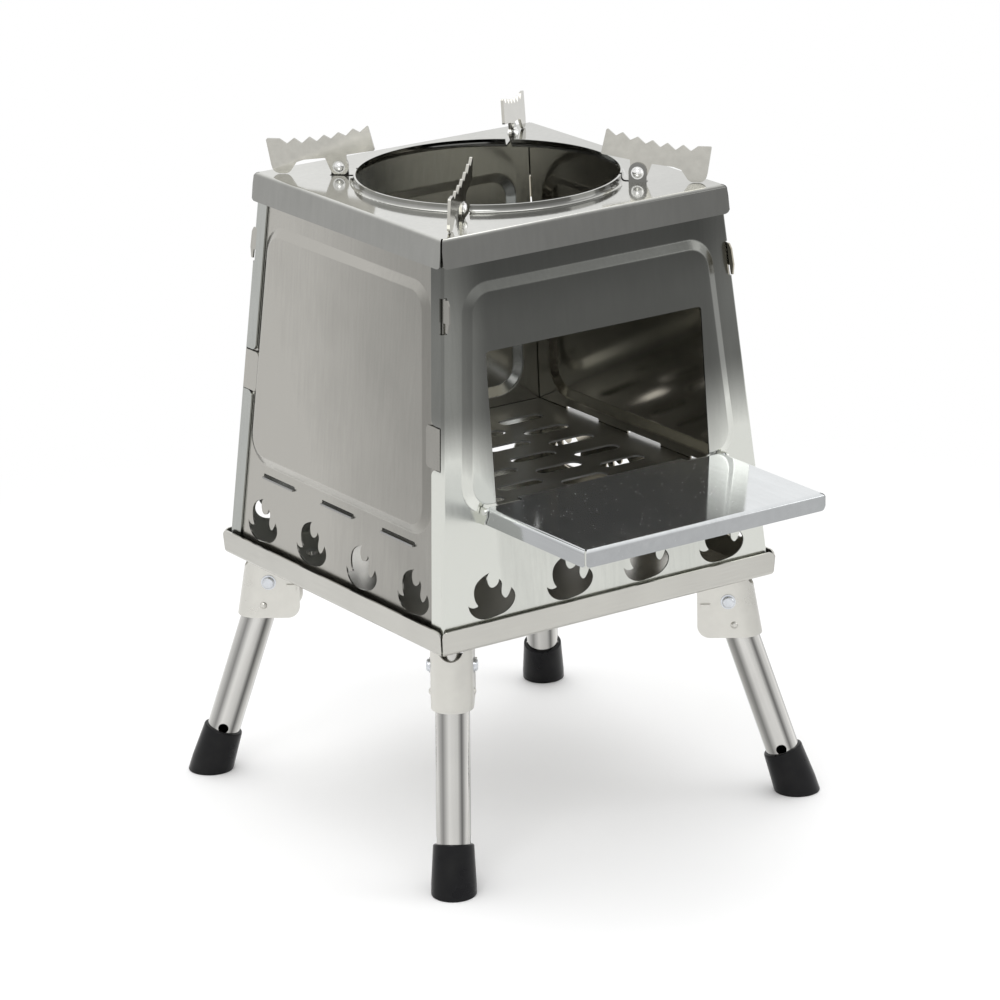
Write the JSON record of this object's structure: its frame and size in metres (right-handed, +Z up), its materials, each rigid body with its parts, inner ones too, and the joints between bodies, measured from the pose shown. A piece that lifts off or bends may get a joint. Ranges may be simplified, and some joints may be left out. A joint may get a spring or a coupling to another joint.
{
  "type": "folding tower stove",
  "caption": "Square tapered stove tower on a tray with splayed folding legs, a fold-up feed door, flame cut-outs and a lid with folding toothed pot rests.",
  "frame": {"origin": "on the ground, under the vertical axis of the square tower", "axes": "+Z up; -Y towards the side with the feed opening and its door; +X to the right of a person who faces that side"},
  "size_m": [0.3038, 0.3739, 0.4256],
  "materials": {
    "steel": "satin stainless sheet",
    "dark_steel": "dull dark sheet",
    "tube": "polished stainless tube",
    "bolt": "zinc plated",
    "rivet": "bright",
    "rubber": "semi-gloss black"
  },
  "bodies": {
    "stand": {"tray": "steel", "bracket_front_left": "steel", "bracket_rivet_front_left": "rivet", "leg_bolt_front_left": "bolt", "bracket_front_right": "steel", "bracket_rivet_front_right": "rivet", "leg_bolt_front_right": "bolt", "bracket_back_right": "steel", "bracket_rivet_back_right": "rivet", "leg_bolt_back_right": "bolt", "bracket_back_left": "steel", "bracket_rivet_back_left": "rivet", "leg_bolt_back_left": "bolt"},
    "tower": {"front_panel": "steel", "back_panel": "steel", "left_panel": "steel", "right_panel": "steel", "grate": "dark_steel", "door_pin_left": "rivet", "door_pin_right": "rivet"},
    "door": {"feed_door": "steel"},
    "lid": {"lid": "steel", "blade_rivet_front_left": "rivet", "blade_rivet_front_right": "rivet", "blade_rivet_back_right": "rivet", "blade_rivet_back_left": "rivet"},
    "leg_front_left": {"leg_tube_front_left": "tube", "foot_front_left": "rubber"},
    "blade_front_left": {"pot_blade_front_left": "steel"},
    "leg_front_right": {"leg_tube_front_right": "tube", "foot_front_right": "rubber"},
    "blade_front_right": {"pot_blade_front_right": "steel"},
    "leg_back_right": {"leg_tube_back_right": "tube", "foot_back_right": "rubber"},
    "blade_back_right": {"pot_blade_back_right": "steel"},
    "leg_back_left": {"leg_tube_back_left": "tube", "foot_back_left": "rubber"},
    "blade_back_left": {"pot_blade_back_left": "steel"}
  },
  "joints": [
    {"name": "tower_lift", "type": "slide", "parent": "stand", "child": "tower", "axis": [0, 0, 1], "range_m": [0, 0.2]},
    {"name": "lid_lift", "type": "slide", "parent": "tower", "child": "lid", "axis": [0, 0, 1], "range_m": [0, 0.12]},
    {"name": "door_fold", "type": "hinge", "parent": "tower", "child": "door", "pos_m": [0, -0.12095, 0.2284], "axis": [-1, 0, 0], "range_deg": [0, 94]},
    {"name": "leg_fold_front_left", "type": "hinge", "parent": "stand", "child": "leg_front_left", "pos_m": [-0.10345, -0.10345, 0.1304], "axis": [0.8039, -0.5948, 0], "range_deg": [0, 108]},
    {"name": "blade_fold_front_left", "type": "hinge", "parent": "lid", "child": "blade_front_left", "pos_m": [-0.06393, -0.06688, 0.39928], "axis": [-0.7044, 0.7044, 0.0872], "range_deg": [0, 180]},
    {"name": "leg_fold_front_right", "type": "hinge", "parent": "stand", "child": "leg_front_right", "pos_m": [0.10345, -0.10345, 0.1304], "axis": [0.5948, 0.8039, 0], "range_deg": [0, 108]},
    {"name": "blade_fold_front_right", "type": "hinge", "parent": "lid", "child": "blade_front_right", "pos_m": [0.06688, -0.06393, 0.39928], "axis": [-0.7044, -0.7044, 0.0872], "range_deg": [0, 180]},
    {"name": "leg_fold_back_right", "type": "hinge", "parent": "stand", "child": "leg_back_right", "pos_m": [0.10345, 0.10345, 0.1304], "axis": [-0.8039, 0.5948, 0], "range_deg": [0, 108]},
    {"name": "blade_fold_back_right", "type": "hinge", "parent": "lid", "child": "blade_back_right", "pos_m": [0.06393, 0.06688, 0.39928], "axis": [0.7044, -0.7044, 0.0872], "range_deg": [0, 180]},
    {"name": "leg_fold_back_left", "type": "hinge", "parent": "stand", "child": "leg_back_left", "pos_m": [-0.10345, 0.10345, 0.1304], "axis": [-0.5948, -0.8039, 0], "range_deg": [0, 108]},
    {"name": "blade_fold_back_left", "type": "hinge", "parent": "lid", "child": "blade_back_left", "pos_m": [-0.06688, 0.06393, 0.39928], "axis": [0.7044, 0.7044, 0.0872], "range_deg": [0, 180]}
  ]
}
